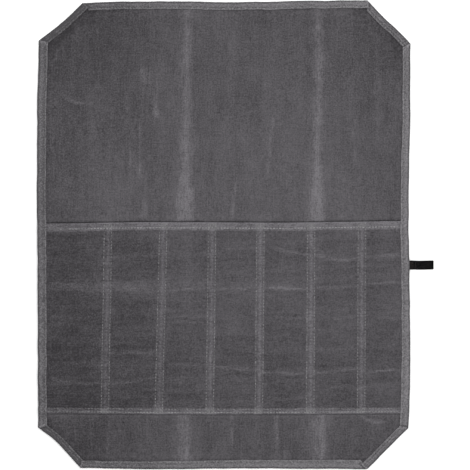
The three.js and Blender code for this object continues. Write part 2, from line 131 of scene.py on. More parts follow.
# Old folds in the plain cloth: half width and rise in mm, how pale the wax is along them, and
# their points in the photograph's pixels
BACK_FOLDS = [
    (17, 0, 0.13, (181, 20), (181, 240)),
    (13, 0, 0.2, (184, 130), (184, 240)),
    (13, 0, 0.13, (319, 40), (318, 120), (318, 180), (317, 240)),
    (10, 0, 0.2, (316, 160), (314, 240)),
    (15, 0, 0.25, (188, 400), (188, 480)),
    (17, 0, 0.3, (320, 400), (319, 440), (320, 480)),
    (7.2, 1.4, 0.52, (188, -14), (187, 60), (186, 130), (187, 200), (186, 240)),
    (2.2, 0.2, 0.2, (187, -14), (186.5, 60), (186, 130), (187, 200), (186, 240)),
    (6.5, 0.2, 0.54, (184, 163), (180, 200), (179, 256)),
    (4.8, 0.2, 0.44, (189, 180), (192, 205), (190, 256)),
    (6.4, 1.3, 0.5, (318, -14), (319, 60), (318, 120), (317, 170), (318, 240)),
    (1.6, 0.2, 0.28, (318.5, -14), (319, 60), (318, 120), (317, 170), (318, 240)),
    (4.6, 0.15, 0.44, (314, 178), (312, 205), (311, 256)),
    (4.6, 0.15, 0.42, (320, 168), (321, 205), (324, 256)),
    (5, 0.15, 0.22, (150, 70), (152, 100), (155, 132)),
    (5, 0.15, 0.24, (135, 150), (134, 185), (139, 215)),
    (1.8, 0.25, 0.48, (143, 196), (142.5, 222)),
    (1.7, 0.3, 0.48, (274, 112), (271, 135), (269, 158), (266, 182)),
    (1.5, 0.3, 0.54, (237, 172), (235, 190), (233, 205), (232, 220)),
    (1.2, 0.15, 0.4, (229, 193), (239, 191)),
    (1.2, 0.2, 0.4, (357, 115), (354.5, 128), (354, 145), (356, 168)),
    (1.4, 0.3, 0.78, (61, 93), (66, 98), (74, 102), (84, 103.4), (98, 103.5)),
    (1.4, 0.2, 0.4, (57, 48), (57.5, 62)),
    (5, 0.2, 0.11, (96, 18), (99, 60), (97, 100)),
    (12, 0, 0.12, (60, 110), (60, 160), (61, 205)),
    (5.5, 0.2, 0.14, (232, 10), (233, 60), (231, 110)),
    (5, 0.2, 0.11, (376, 30), (378, 90), (376, 150)),
    (9.5, 1.2, 0.44, (183, 396), (182.5, 414), (182.5, 438), (183, 478)),
    (1.7, 0.2, 0.62, (186.5, 400), (187, 438), (187, 474)),
    (2.2, 1, 1.05, (322, 398), (322.5, 438), (322, 478)),
    (5.5, 0.3, 0.27, (318, 398), (317, 438), (317, 478)),
    (1.8, 0.2, 0.7, (232.5, 402), (232, 425), (231, 448)),
    (2.1, 0.2, 0.8, (276.5, 402), (276.5, 425), (277, 452)),
    (1.8, 0.2, 0.26, (108, 416), (107.5, 440), (109, 460)),
    (1.6, 0.2, 1.15, (360, 416), (365, 419), (371, 421.5), (379, 422), (388, 423)),
    (3, 0.15, 0.14, (60, 432), (90, 436), (130, 431)),
    (3.6, 0.2, 0.36, (155, 84), (155.5, 104), (158.5, 125)),
    (2.2, 0.2, 0.5, (154, 104), (155, 112), (159, 118)),
    (2.4, 0.2, 0.36, (158, 70), (157, 92)),
    (2.2, 0.2, 0.3, (146, 172), (145.5, 222)),
    (2.6, 0.2, 0.5, (144, 66), (144.5, 86)),
    (1.5, 0.3, 0.5, (141.5, 66), (141, 100), (140, 180)),
    (2.2, 0.2, 0.4, (150, 68), (151, 96)),
    (3.6, 0.2, 0.22, (139.5, 158), (140, 190)),
    (1.2, 0.2, 0.4, (141.5, 160), (141.5, 186)),
    (1.0, 0.25, 0.6, (130.5, 148), (130.5, 160), (130, 178)),
    (1.6, 0.2, 0.3, (127.5, 90), (127, 112)),
    (1.8, 0.2, 0.25, (163, 116), (162, 130)),
    (1.8, 0.2, 0.3, (177.5, 186), (177, 205), (177.5, 240)),
    (1.6, 0.2, 0.25, (111, 104), (111.5, 122)),
]

# The same for the pocket cloth, where a rise below zero is a dip
POCKET_FOLDS = [
    (1.6, 0.35, 0.32, (104, 257), (120, 256), (140, 255.5), (159, 256)),
    (1.5, 0.3, 0.22, (212, 252), (258, 248)),
    (1.6, 0.5, 0.58, (271, 246), (289, 252), (313, 255), (340, 260), (364, 258)),
    (1.5, 0.4, 0.54, (367, 257), (384, 255.5), (401, 255)),
    (9, 0, 0.12, (40, 284), (105, 285), (160, 286), (210, 285), (262, 286), (320, 286)),
    (4.2, 0.6, 0.3, (47, 284), (75, 286), (105, 285), (130, 287), (160, 286)),
    (1.4, -0.4, 0.26, (47, 290.5), (75, 290), (105, 290.5), (135, 290), (162, 290.5)),
    (1.4, 0.5, 0.48, (162, 290.5), (186, 289.5), (210, 289.3), (235, 288.3), (259, 288)),
    (1.5, 0.6, 0.8, (259, 288), (284, 288.7), (311, 288.6)),
    (1.4, 0.5, 0.58, (311, 288.4), (336, 287), (361, 285.8)),
    (1.4, 0.5, 0.48, (361, 285), (382, 283), (401, 282.4)),
    (1.3, 0.35, 0.42, (162, 317.5), (186, 316), (209, 317.5)),
    (1.3, 0.35, 0.38, (164, 322), (186, 321.5), (208, 322.5)),
    (1.6, 0.3, 0.19, (48, 316), (75, 318), (104, 317)),
    (1.5, 0.3, 0.19, (212, 318), (236, 317), (258, 316)),
    (1.5, 0.3, 0.22, (262, 316), (286, 318), (310, 317.5)),
    (1.5, 0.3, 0.19, (313, 316), (338, 318), (360, 316.5)),
    (1.8, -0.35, -0.16, (106, 347), (132, 346.5), (158, 348)),
    (1.4, 0.4, 0.42, (106, 353), (132, 352.5), (159, 353.5)),
    (1.5, 0.25, 0.16, (212, 350), (236, 349), (258, 350)),
    (1.5, 0.3, 0.29, (313, 350), (336, 348.5), (360, 349)),
    (1.7, 0.45, 0.48,
     (48, 378), (66, 381.5), (84, 383.5), (104, 384), (124, 383), (142, 380.5), (158, 378)),
    (1.5, 0.3, 0.26, (162, 363.5), (186, 364.5), (209, 364)),
    (1.5, 0.25, 0.22, (162, 390), (186, 391), (209, 390)),
    (1.5, 0.5, 0.67, (212, 367), (236, 368.3), (256, 370), (265, 372), (289, 374), (307, 374)),
    (1.5, 0.5, 0.67, (310, 374), (331, 372), (355, 369), (362, 369)),
    (1.6, 0.55, 0.8, (364, 373), (380, 371), (401, 369)),
    (1.2, 0.3, 0.54, (327, 387), (338, 386), (350, 383.5)),
    (1.8, 0.2, 0.16, (56, 240), (70, 243), (92, 241)),
    (2, 0.2, 0.19, (262, 398), (286, 399.5), (309, 398)),
    (1.7, 0.25, 0.22, (366, 320), (382, 318), (400, 320)),
    (1.7, 0.25, 0.19, (366, 345), (382, 347), (400, 345)),
    (10, 0, -0.2, (160, 327), (212, 327)),
    (6, 0.15, 0.15, (187, 224), (188, 262), (186, 300)),
    (5, 0.15, 0.18, (319, 224), (320, 262), (318, 300)),
]


def clamp(t):
    return np.clip(t, 0.0, 1.0)


def smooth(t):
    """0 below 0 and 1 above 1, with a smooth step between."""
    c = clamp(t)
    return c * c * (3 - 2 * c)


def mix(a, b, t):
    return a + (b - a) * t


def bell(off, width):
    """1 where off is 0, falling smoothly to about a third at width."""
    return np.exp(-((off / width) ** 2))


def at_px(p):
    """Where a pixel of the photograph lies on the roll."""
    return (p[0] - MID_PX[0]) * PX, (MID_PX[1] - p[1]) * PX


def lattice(ix, iy, seed):
    n = (ix * 374761393 + iy * 668265263 + seed * 982451653) & 0xFFFFFFFF
    n = ((n ^ (n >> 13)) * 1274126177) & 0xFFFFFFFF
    return ((n ^ (n >> 16)) & 0xFFFF) / 32767.5 - 1


def noise(x, y, size, seed):
    """Smooth noise from -1 to 1 whose lumps are about size across."""
    fx, fy = np.asarray(x, float) / size + 100.5, np.asarray(y, float) / size + 100.5
    ix, iy = np.floor(fx).astype(np.int64), np.floor(fy).astype(np.int64)
    u, v = smooth(fx - ix), smooth(fy - iy)
    low = mix(lattice(ix, iy, seed), lattice(ix + 1, iy, seed), u)
    high = mix(lattice(ix, iy + 1, seed), lattice(ix + 1, iy + 1, seed), u)
    return mix(low, high, v)


def line_noise(t, size, seed, row=0):
    """Smooth noise along one line: t is how far along it each point lies, row picks the line."""
    return noise(t, t * 0 + row, size, seed)


def fold_fields(folds, x, y, seed):
    """The height and the paleness that a table of folds gives at each point."""
    rise, pale = np.zeros(x.shape), np.zeros(x.shape)
    wander = 0.9 * noise(x, y, 14, seed) + 0.4 * noise(x, y, 5, seed + 1)
    wander_y = 0.9 * noise(x, y, 14, seed + 2) + 0.4 * noise(x, y, 5, seed + 3)
    px, py = x + wander, y + wander_y
    for n, (half, up, wear, *points) in enumerate(folds):
        line = np.array([at_px(p) for p in points])
        best, along, so_far = np.full(x.shape, 1e9), np.zeros(x.shape), 0.0
        for a, b in zip(line[:-1], line[1:]):
            d = b - a
            size = float(np.hypot(*d))
            t = clamp(((px - a[0]) * d[0] + (py - a[1]) * d[1]) / size**2)
            off = np.hypot(px - a[0] - t * d[0], py - a[1] - t * d[1])
            nearer = off < best
            best = np.where(nearer, off, best)
            along = np.where(nearer, so_far + t * size, along)
            so_far += size
        fade = min(12 + half, so_far / 3)
        ends = smooth(along / fade) * smooth((so_far - along) / fade)
        broken = 0.78 + 0.3 * line_noise(along, 9, seed + 5, 31 * n)
        rise += up * ends * bell(best, 1.25 * half)
        pale += wear * ends ** (0.5 if half < 3 else 1) * broken * np.exp(-((best / half) ** 2) * 1.4)
    return rise, pale


class Side:
    def __init__(self, name, bow, sway, ripple, seam, over, widths, lights, start, end):
        self.name, self.waves = name, (bow, sway, ripple)
        self.widths, self.lights = widths, lights
        self.start, self.end = np.array(start), np.array(end)
        self.length = float(np.hypot(*(self.end - self.start)))
        self.dir = (self.end - self.start) / self.length
        self.inward = np.array([self.dir[1], -self.dir[0]])
        self.seam_end, self.over_end = np.array(seam), over
        self.is_cut = "_" in name

    def wider(self, along, inset):
        """How much further in a line of the tape lies where the tape shows wider than usual."""
        width = mix(*self.widths, clamp(along / self.length))
        return (width - TAPE_W) * smooth((inset - 2) / 4.5)

    def locate(self, x, y):
        """How far along the side, and in from its straight line, each point lies."""
        dx, dy = x - self.start[0], y - self.start[1]
        return dx * self.dir[0] + dy * self.dir[1], dx * self.inward[0] + dy * self.inward[1]

    def place(self, along, inset):
        """The point at a distance along the side and in from the roll's real edge."""
        t = along / self.length
        drift = EDGE_DRIFT * sum(w * np.sin((k + 1) * np.pi * t) for k, w in enumerate(self.waves))
        ends = smooth(along / 9) * smooth((self.length - along) / 9)
        seed = 40 + len(self.name)
        drift = drift + ends * (0.35 * line_noise(along, 17, seed, 5) + 0.16 * line_noise(along, 6, seed))
        if self.name == "right":
            past_tab = self.start[1] + self.dir[1] * along - TAB_Y
            drift = drift + 0.75 * bell(past_tab, 8)
        x = self.start[0] + self.dir[0] * along + self.inward[0] * (inset - drift)
        y = self.start[1] + self.dir[1] * along + self.inward[1] * (inset - drift)
        return x, y


def make_sides():
    loop = []
    for across, up, cut_across, cut_up, in_up, in_across in CORNERS:
        on_end = (across * (HALF_W - cut_across * CORNER_CUT), up * (HALF_L - in_up * EDGE_DRIFT))
        on_side = (across * (HALF_W - in_across * EDGE_DRIFT), up * (HALF_L - cut_up * CORNER_CUT))
        loop.append((on_end, on_side))
    tl, tr, br, bl = loop
    points = [tl[0], tr[0], tr[1], br[1], br[0], bl[0], bl[1], tl[1]]
    sides = [Side(*row, points[i], points[(i + 1) % 8]) for i, row in enumerate(SIDES)]
    for i, side in enumerate(sides):
        before = sides[i - 1]
        side.seam_start, side.over_start = before.seam_end, not before.over_end
    return sides


SIDE = make_sides()
SIDE_BY = {s.name: s for s in SIDE}


def side_x(name, y, inset):
    s = SIDE_BY[name]
    along = (y - s.start[1]) / s.dir[1]
    return s.place(along, inset + s.wider(along, inset))[0]


def foot_y(x):
    return FOOT_Y - FOOT_SAG * np.cos(np.pi * x / ROLL_WIDTH)


def mouth_y(x):
    across, off = zip(*MOUTH)
    line = np.interp(x, across, off) + 0.15 * line_noise(x, 22, 71)
    return FOOT_Y + POCKET_LENGTH + MOUTH_RISE * x / ROLL_WIDTH + line


def ground(x, y):
    """The underside of the back cloth."""
    inside = np.min([s.locate(x, y)[1] - 10 - (8 if s.is_cut else 0) for s in SIDE], axis=0)
    edge = EDGE_LIFT * (1 - smooth(inside / 22))
    aside = np.abs(y - TAB_Y) - TAB_W / 2 - 2
    tab = TAB_LIFT * (1 - smooth(aside / 18)) * (1 - smooth((TAB_IN - 2 - x) / 18))
    outside = np.maximum(foot_y(x) - y, y - mouth_y(x))
    free = smooth((outside + 4) / 26)
    rise, _ = fold_fields(BACK_FOLDS, x, y, 11)
    calm = smooth((inside + 4) / 16)
    waves = 0.5 + 0.5 * noise(x, y, 72, 3) + 0.3 * noise(x, y, 31, 4)
    small = 0.16 * noise(x, y, 13, 5) + 0.09 * noise(x, y, 6, 6)
    cloth = free * (rise + 0.75 * np.maximum(waves, 0)) + 0.12
    return edge + tab + np.maximum(0, (0.12 + 0.88 * calm) * (cloth + (0.3 + 0.7 * free) * small))


def divider_x(k, y):
    mouth, foot = DIVIDERS[k]
    return ROLL_WIDTH * mix(foot, mouth, (y - FOOT_Y) / POCKET_LENGTH) + 0.2 * line_noise(y, 45, 80 + k)


def fences(y):
    """The lines that the pocket cloth is sewn down on, left to right."""
    beside_tape = TAPE_W + 0.6
    rows = [divider_x(k, y) + side for k in EACH_DIVIDER for side in (-BAND, BAND)]
    return [side_x("left", y, beside_tape), *rows, side_x("right", y, beside_tape)]


def hem_rows(x):
    """The hems' stitch rows: one below the mouth and two above the foot."""
    return [mouth_y(x) - MOUTH_ROW] + [foot_y(x) + up for up in FOOT_ROWS]


def from_dividers(x, y):
    """How far each point lies from each of the dividers' stitch rows."""
    return [x - divider_x(k, y) - side for k in EACH_DIVIDER for side in (-BAND, BAND)]


def near_hems(x, y, beyond, width):
    """1 on both hems and for about beyond past their inner edges, then falling to 0 over width."""
    at_foot = smooth((foot_y(x) + FOOT_HEM + beyond - y) / width)
    return np.maximum(at_foot, smooth((y - mouth_y(x) + MOUTH_HEM + beyond) / width))


def stitch_grooves(x, y):
    depth = np.zeros(x.shape)
    for off in from_dividers(x, y):
        depth += 0.24 * bell(off, 0.85)
    for row in hem_rows(x):
        depth += 0.2 * bell(y - row, 0.85)
    return depth


def pit_fields(x, y):
    """How near each point is to the rows whose stitches follow each other across and up the roll,
    for the painted shade in their needle holes.
    """
    pit_x = sum(bell(y - row, 0.9) for row in hem_rows(x))
    pit_y = sum(bell(off, 0.9) for off in from_dividers(x, y))
    return pit_x, pit_y * (1 - clamp(pit_x))


def pocket_form(x, y):
    """How far the pocket cloth stands above the back cloth, and how pale it is."""
    foot, mouth = foot_y(x), mouth_y(x)
    free = clamp((y - foot - FOOT_HEM) / (mouth - foot - MOUTH_HEM - FOOT_HEM))
    ups, fills = zip(*FILL)
    fill = np.interp(free, ups, fills)
    lines = fences(y)
    lift = np.zeros(x.shape)
    room = np.zeros(x.shape)
    for k, (loft, lean) in enumerate(POCKETS):
        a, b = lines[2 * k], lines[2 * k + 1]
        u = 2 * (x - a) / (b - a) - 1
        inside = np.abs(u) < 1
        peak = lean + 0.12 * line_noise(y, 60, 90, 9 * k)
        v = np.where(u < peak, (u - peak) / (1 + peak), (u - peak) / (1 - peak))
        arch = (1 - np.abs(np.clip(v, -1, 1)) ** 2.3) ** 2
        swell = 1 + 0.1 * line_noise(y, 48, 91, 17 * k)
        lift = np.where(inside, LOFT * loft * arch * fill * swell, lift)
        room = np.where(inside, smooth((1 - np.abs(u)) * (b - a) / 2 / 5), room)
    for k in EACH_DIVIDER:
        lift += 0.8 * bell(x - divider_x(k, y) - 0.2, 2.1) * (1 + 0.25 * line_noise(y, 8, 60 + k))
    rise, pale = fold_fields(POCKET_FOLDS, x, y, 23)
    crumple = 0.22 * noise(x, y, 17, 24) + 0.1 * noise(x, y, 7, 25)
    lift = lift + room * smooth((y - foot - 4) / 12) * (rise + crumple)
    hem = near_hems(x, y, 2.2, 2.6)
    lift = np.maximum(lift, 0)
    step = (CANVAS + GAP) * hem
    lift = np.maximum(lift, step) + 0.25 * bell(lift - step, 1.0)
    return lift, pale, hem


def pocket_base(x, y):
    return ground(x, y) + CANVAS + GAP


# Meshes


def new_mesh(name, points, faces, fields=()):
    """An object from points, arrays of faces and, for the materials, values at the points."""
    mesh = bpy.data.meshes.new(name)
    corners = [face for part in faces for face in part.tolist()]
    mesh.from_pydata((np.asarray(points, float) * MM).tolist(), [], corners)
    mesh.polygons.foreach_set("use_smooth", np.ones(len(corners), bool))
    for label, values in dict(fields).items():
        layer = mesh.attributes.new(label, "FLOAT", "POINT")
        layer.data.foreach_set("value", np.asarray(values, np.float32).ravel())
    mesh.update(calc_edges=True)
    mesh.validate()
    obj = bpy.data.objects.new(name, mesh)
    bpy.context.scene.collection.objects.link(obj)
    return obj


def strip_faces(rows, columns, closed=False, start=0, flip=False):
    """Quads over a grid of points stored row by row, each row a closed ring or not."""
    r = np.arange(rows - 1)[:, None]
    c = np.arange(columns if closed else columns - 1)
    n = (c + 1) % columns
    quads = np.stack([r * columns + c, r * columns + n, (r + 1) * columns + n, (r + 1) * columns + c], -1)
    quads = quads.reshape(-1, 4) + start
    return quads[:, ::-1] if flip else quads


def outward(obj, ends=()):
    """Closes each ring of points in ends with triangles, and turns all the faces outwards."""
    bm = bmesh.new()
    bm.from_mesh(obj.data)
    bm.verts.ensure_lookup_table()
    for ring in ends:
        face = bm.faces.new([bm.verts[i] for i in ring])
        bmesh.ops.triangulate(bm, faces=[face])
    bmesh.ops.recalc_face_normals(bm, faces=bm.faces)
    bm.to_mesh(obj.data)
    bm.free()
    return obj


def band_mesh(name, ring, fields):
    """A flat closed band: rings of points side by side, with both of its ends capped."""
    stations, size = ring.shape[:2]
    faces = [strip_faces(stations, size, closed=True)]
    near = np.arange(size // 2 - 1)
    far = size - 1 - near
    for first in (0, (stations - 1) * size):
        faces.append(np.stack([near, near + 1, far - 1, far], -1) + first)
    return outward(new_mesh(name, ring.reshape(-1, 3), faces, fields))


def sheet_solid(name, x, y, low, high, fields):
    """A closed sheet between two heights over a grid of points."""
    rows, columns = x.shape
    count = rows * columns
    points = np.concatenate([np.stack([x, y, z], -1).reshape(-1, 3) for z in (low, high)])
    faces = [strip_faces(rows, columns, flip=True), strip_faces(rows, columns, start=count)]
    rim = np.concatenate([
        np.arange(columns - 1), np.arange(rows - 1) * columns + columns - 1,
        (rows - 1) * columns + np.arange(columns - 1, 0, -1), np.arange(rows - 1, 0, -1) * columns])
    after = np.roll(rim, -1)
    faces.append(np.stack([rim, after, after + count, rim + count], -1))
    both = {k: np.concatenate([v.ravel(), v.ravel()]) for k, v in fields.items()}
    return outward(new_mesh(name, points, faces, both))


def cluster(fixed, low, high, step):
    """Sorted lines from low to high: the fixed ones, and others between them at most step apart."""
    lines = np.unique([low, *[v for v in fixed if low < v < high], high])
    out = [lines[0]]
    for value in lines[1:]:
        if value - out[-1] < 0.3 and value < high:
            continue
        n = max(1, int(math.ceil((value - out[-1]) / step)))
        out += list(np.linspace(out[-1], value, n + 1)[1:])
    return np.array(out)


def finer(low, high, step, zones):
    """Lines from low to high at about step apart, and closer within each zone's start and end."""
    out = [low]
    for start, end, close in [*zones, (high, high, step)]:
        out += list(np.linspace(out[-1], start, int((start - out[-1]) / step) + 2)[1:])
        if end > start:
            out += list(np.linspace(start, end, int((end - start) / close) + 2)[1:])
    return np.array(out)


def back_cloth():
    """The back panel: its edge lies inside the binding's fold."""
    foot, mouth = FOOT_Y, FOOT_Y + POCKET_LENGTH
    lower_end, upper_end = -HALF_L + CLOTH_TUCK + 2.2, HALF_L - CLOTH_TUCK - 2.6
    ys = finer(lower_end, upper_end, 2.45, [(foot - 6, foot + 1, 1.0), (mouth - 3.4, mouth + 3.2, 0.6)])
    span = ROLL_WIDTH - 2 * CLOTH_TUCK
    us = finer(0, span, 2.65, [(5.5, 11.5, 1.0), (span - 11.5, span - 5.5, 1.0)]) / span
    reach = {1: [], -1: []}
    for s in SIDE:
        if abs(s.dir[1]) > 0.3:
            x, y = s.place(np.clip((ys - s.start[1]) / s.dir[1], 0, s.length), CLOTH_TUCK)
            reach[np.sign(s.inward[0])].append(x + (y - ys) * s.inward[1] / s.inward[0])
    left, right = np.max(reach[1], axis=0), np.min(reach[-1], axis=0)
    x = mix(left[:, None], right[:, None], us)
    y = np.repeat(ys[:, None], len(us), 1)
    _, pale = fold_fields(BACK_FOLDS, x, y, 11)
    # No worn paleness in the painted shadow line above the pocket's mouth
    pale = pale * (1 - 0.8 * bell(y - mouth_y(x) - 0.6, 1.2))
    low = ground(x, y)
    shade = back_shade(x, y)
    return sheet_solid("back_cloth", x, y, low, low + CANVAS, {"pale": pale, "shade": shade})


# The cloth's darker corners: which way across and from where, over how much, and the same up
DARK_CORNERS = [(-1, 60, 90, 1, 130, 80), (1, 120, 50, 1, 150, 60), (-1, 80, 80, -1, 205, 20)]


def back_shade(x, y):
    """Broad light and dark of the waxed cloth: darker to the left and along its binding, with painted
    shadow lines by the binding and above the pocket's mouth, and painted light below its foot.
    """
    rims = []
    beside_cut = np.zeros(x.shape)
    for side in SIDE:
        along, inset = side.locate(x, y)
        rims.append(inset - TAPE_W - side.wider(along, TAPE_W))
        beside_cut -= CORNER_DARK.get(side.name, 0.0) * (1 - smooth((rims[-1] - 3) / 13))
    inside = np.min(rims, axis=0)
    # Painted shadow: a dark line on the cloth just inside the binding, a little lighter further in
    rim = 0.03 * bell(inside - 3, 4) - 0.06 * bell(inside - 0.4, 1.0)
    mouth, foot = mouth_y(x), foot_y(x)
    # Painted shadow: a dark line just above the pocket's mouth, with painted light a little higher up
    # where the standing mouth casts real shade
    lip = 0.07 * bell(y - mouth - 5, 4) - 0.5 * bell(y - mouth - 0.6, 1.0)
    # Painted light just below the pocket's foot hem, where the hem casts real shade
    painted_foot_light = 0.13 * bell(y - foot + 2.2, 1.6)
    corner = np.zeros(x.shape)
    for across, from_x, over_x, up, from_y, over_y in DARK_CORNERS:
        corner -= 0.13 * smooth((across * x - from_x) / over_x) * smooth((up * y - from_y) / over_y)
    streak = 0.045 * noise(x, y * 0.12, 5, 56) + 0.035 * noise(x, y * 0.25, 11, 57)
    wide = 0.02 * x / HALF_W + 0.035 * noise(x, y, 85, 51) + 0.03 * noise(x, y, 34, 52)
    above = 0.1 * smooth((250 - y) / 220) * smooth((190 - np.abs(x)) / 60) - 0.04
    wide = wide + np.where(y > 0, above, -0.03)
    return wide + rim + lip + painted_foot_light + corner + beside_cut + streak


def pocket_cloth():
    """The pocket panel: one sheet, both hems folded under, sewn down between hollow pockets."""
    foot, mouth = FOOT_Y, FOOT_Y + POCKET_LENGTH
    half_way = np.array([(foot + mouth) / 2])
    edges = [float(e[0]) for e in fences(half_way)]
    fixed = [float(divider_x(k, half_way)[0]) + off for k in EACH_DIVIDER for off in DIVIDER_LINES]
    low, high = edges[0] - TAPE_W + 0.9, edges[-1] + TAPE_W - 0.9
    xs = cluster(fixed, low, high, 2.9)
    r = (CANVAS + GAP) / 2
    levels = cluster([mouth - MOUTH_ROW, *(foot + up for up in FOOT_ROWS)], foot + r, mouth - r, 1.75)
    bend = np.linspace(0, np.pi, 7)[1:-1]
    inner = np.linspace(0, 1, 6)
    # The sheet's middle line, from the mouth hem's raw edge round to the foot hem's raw edge:
    # its level, how far past the fold's centre, and the layer (0 under, 1 over)
    path = [(mouth - MOUTH_HEM + t * (MOUTH_HEM - r), 0.0, 0.0) for t in inner]
    path += [(mouth - r, r * np.sin(a), (1 - np.cos(a)) / 2) for a in bend]
    path += [(level, 0.0, 1.0) for level in levels[::-1]]
    path += [(foot + r, -r * np.sin(a), (1 + np.cos(a)) / 2) for a in bend]
    path += [(foot + r + t * (FOOT_HEM - r), 0.0, 0.0) for t in inner]
    level, past, layer = (np.array(column)[:, None] for column in zip(*path))
    y = mix(foot_y(xs), mouth_y(xs), (level - foot) / (mouth - foot))
    ends = zip(y, side_x("left", y, 1.6), side_x("right", y, 1.6))
    knots = [low, *edges, high]
    x = np.array([xs + np.interp(xs, knots, fence_shifts(knots, *row)) for row in ends])
    lift, pale, hem = pocket_form(x, y)
    grooves = stitch_grooves(x, y)
    middle = pocket_base(x, y) + CANVAS / 2 + lift - (CANVAS + GAP) * (1 - layer) - grooves * layer
    yy = y + past
    # Half the cloth's thickness to either side of the middle line, square to it
    dy, dz = np.gradient(yy, axis=0), np.gradient(middle, axis=0)
    size = np.hypot(dy, dz) + 1e-9
    ny, nz = -dz / size, dy / size
    half = CANVAS / 2
    a = np.stack([x, yy + ny * half, middle + nz * half], -1)
    b = np.stack([x, yy - ny * half, middle - nz * half], -1)
    edge_wear = bell(mouth_y(x) - yy - 0.7, 1.2) * 0.3
    pit_x, pit_y = pit_fields(x, y)
    fields = {"pale": pale + edge_wear + band_pale(x, y, hem), "shade": pocket_shade(x, y)}
    fields.update(pit_x=pit_x, pit_y=pit_y)
    both = {label: np.concatenate([v, v[::-1]]).T for label, v in fields.items()}
    return band_mesh("pocket_cloth", np.swapaxes(np.concatenate([a, b[::-1]]), 0, 1), both)


def band_pale(x, y, hem):
    """How worn the dividers' ridges, the hems and the tacks are."""
    at_mouth, at_foot = smooth((y - mouth_y(x) + 8.9) / 0.9), smooth((foot_y(x) + 7.4 - y) / 0.9)
    worn_hem = np.maximum(at_mouth, at_foot)
    pale = worn_hem * (0.63 + 0.14 * noise(x, y, 7, 54) + 0.12 * noise(x, y, 2.6, 155))
    for row, wear in zip(hem_rows(x), (0.55, 0.25, 0.52)):
        pale += wear * bell(y - row, 1.3)
    right = 0.8 + 0.25 * smooth((x + 60) / 120) - 0.12 * smooth((x - 120) / 40)
    for k in EACH_DIVIDER:
        off = x - divider_x(k, y)
        row = bell(np.abs(off) - BAND, 0.8) * (1 + 0.5 * line_noise(y, 6, 153, k))
        worn = right * (1 + 0.22 * line_noise(y, 16, 150, 3 * k) + 0.1 * line_noise(y, 5, 151, 3 * k))
        band = 0.27 * smooth((BAND + 1.6 - np.abs(off)) / 1.3)
        ridge = 0.41 * bell(off - 0.2, 1.5)
        pale += worn * (band + ridge + 0.27 * row) * (1 - 0.45 * hem)
        pale += 0.35 * hem * smooth((BAND + 2.2 - np.abs(off)) / 1.4) * (1 + 0.5 * noise(x, y, 3.2, 152))
    return pale


def fence_shifts(knots, y, left, right):
    """How far each knot across the panel moves so that its columns follow the slanting dividers."""
    lines = [float(line[0]) for line in fences(np.array([float(np.mean(y))]))]
    now = [float(np.mean(left)), *lines, float(np.mean(right))]
    return [place - knot for place, knot in zip(now, knots)]


def pocket_shade(x, y):
    across = 0.01 * x / HALF_W - 0.09 * smooth((-x - 45) / 60) - 0.09 * smooth((-x - 120) / 50)
    under_foot = -0.1 * smooth((foot_y(x) + 9 - y) / 2) * smooth((-x - 40) / 120)
    streak = 0.06 * noise(x * 0.1, y, 3.4, 58) + 0.03 * noise(x * 0.2, y, 9, 60)
    streak = streak + 0.02 * noise(x, y * 0.2, 6, 59)
    rows = np.zeros(x.shape)
    for row in hem_rows(x)[1:]:
        rows -= 0.06 * bell(np.abs(y - row) - 1.5, 0.8)
    wide = 0.045 * noise(x, y, 40, 53) + 0.025 * noise(x, y, 15, 55)
    low = 0.015 - 0.085 * smooth((FOOT_Y + 150 - y) / 150)
    return across + under_foot + streak + wide + rows + low


# The binding

def seam_along(side, inset, at_end):
    """Where along a side its seam line lies, at a distance in from the edge."""
    d = side.seam_end if at_end else side.seam_start
    return (side.length if at_end else 0.0) + inset * float(d @ side.dir) / float(d @ side.inward)


def covered(side, at_end):
    """How far in from the edge the next side's tape, where it lies on top, covers this one's end."""
    i = SIDE.index(side)
    d = side.seam_end if at_end else side.seam_start
    other = SIDE[(i + 1) % 8] if at_end else SIDE[i - 1]
    return TAPE_W * float(d @ side.inward) / float(d @ other.inward)


def under_tape(side, x, y):
    """Height of the top of what the tape lies on: the back cloth, with the pocket cloth's edge."""
    base = ground(x, y) + CANVAS + GAP
    if side.name in ("left", "right"):
        foot, mouth = foot_y(x), mouth_y(x)
        over = smooth((y - foot + 3) / 5) * smooth((mouth + 3 - y) / 5)
        base = base + over * (CANVAS + GAP) * (1 + near_hems(x, y, 3, 4))
    return base


# The tape's section, part by part: distance in from the edge, and offset from the part's surface.
# "high" is the upper leg's top, "slot" its underside, "base" the lower leg's top, "low" its foot.
SECTION_PARTS = [
    ("low", [(TAPE_W, 0.12), (TAPE_W - 0.5, 0), (6, 0.05), (3.4, 0), (1.7, 0.06), (0.7, 0.42),
             (0.16, 1.05)]),
    ("mid", [(0, 0)]),
    ("high", [(0.14, -1.15), (0.6, -0.5), (1.3, -0.12), (2.2, 0.05), (3.3, -0.02), (4.5, -0.12),
              (5.6, -0.14), (6.3, -0.26), (TAPE_ROW, -0.42), (7.3, -0.2), (7.8, 0), (8.15, -0.06),
              (TAPE_W, -0.3)]),
    ("slot", [(TAPE_W - 0.02, 0.2), (TAPE_W - 0.25, 0), (TAPE_ROW, 0), (4, 0), (1.6, -0.05)]),
    ("mid", [(1.05, 0)]),
    ("base", [(1.6, 0.05), (4, 0), (TAPE_ROW, 0), (TAPE_W - 0.2, 0)]),
]
SECTION = [(inset, kind, offset) for kind, points in SECTION_PARTS for inset, offset in points]


def tape_height(side, along, inset, kind, offset, x, y):
    """The height of one line of the tape's section at each station."""
    under = ground(x, y) - GAP - TAPE
    top = under_tape(side, x, y) + TAPE
    lift_start = smooth((7 - along + seam_along(side, inset, False)) / 6) * side.over_start
    lift_end = smooth((along - seam_along(side, inset, True) + 7) / 6) * side.over_end
    raised = TAPE_RAISED * np.maximum(lift_start, lift_end)
    uneven = 0.13 * line_noise(along, 7, 120, inset) + 0.1 * line_noise(along, 23, 121, inset * 2)
    high = top + raised + uneven * smooth(inset / 2)
    levels = {"low": under, "high": high, "slot": top + raised - TAPE, "base": under + TAPE}
    if kind == "mid":
        return (under + high) / 2
    return levels[kind] + offset


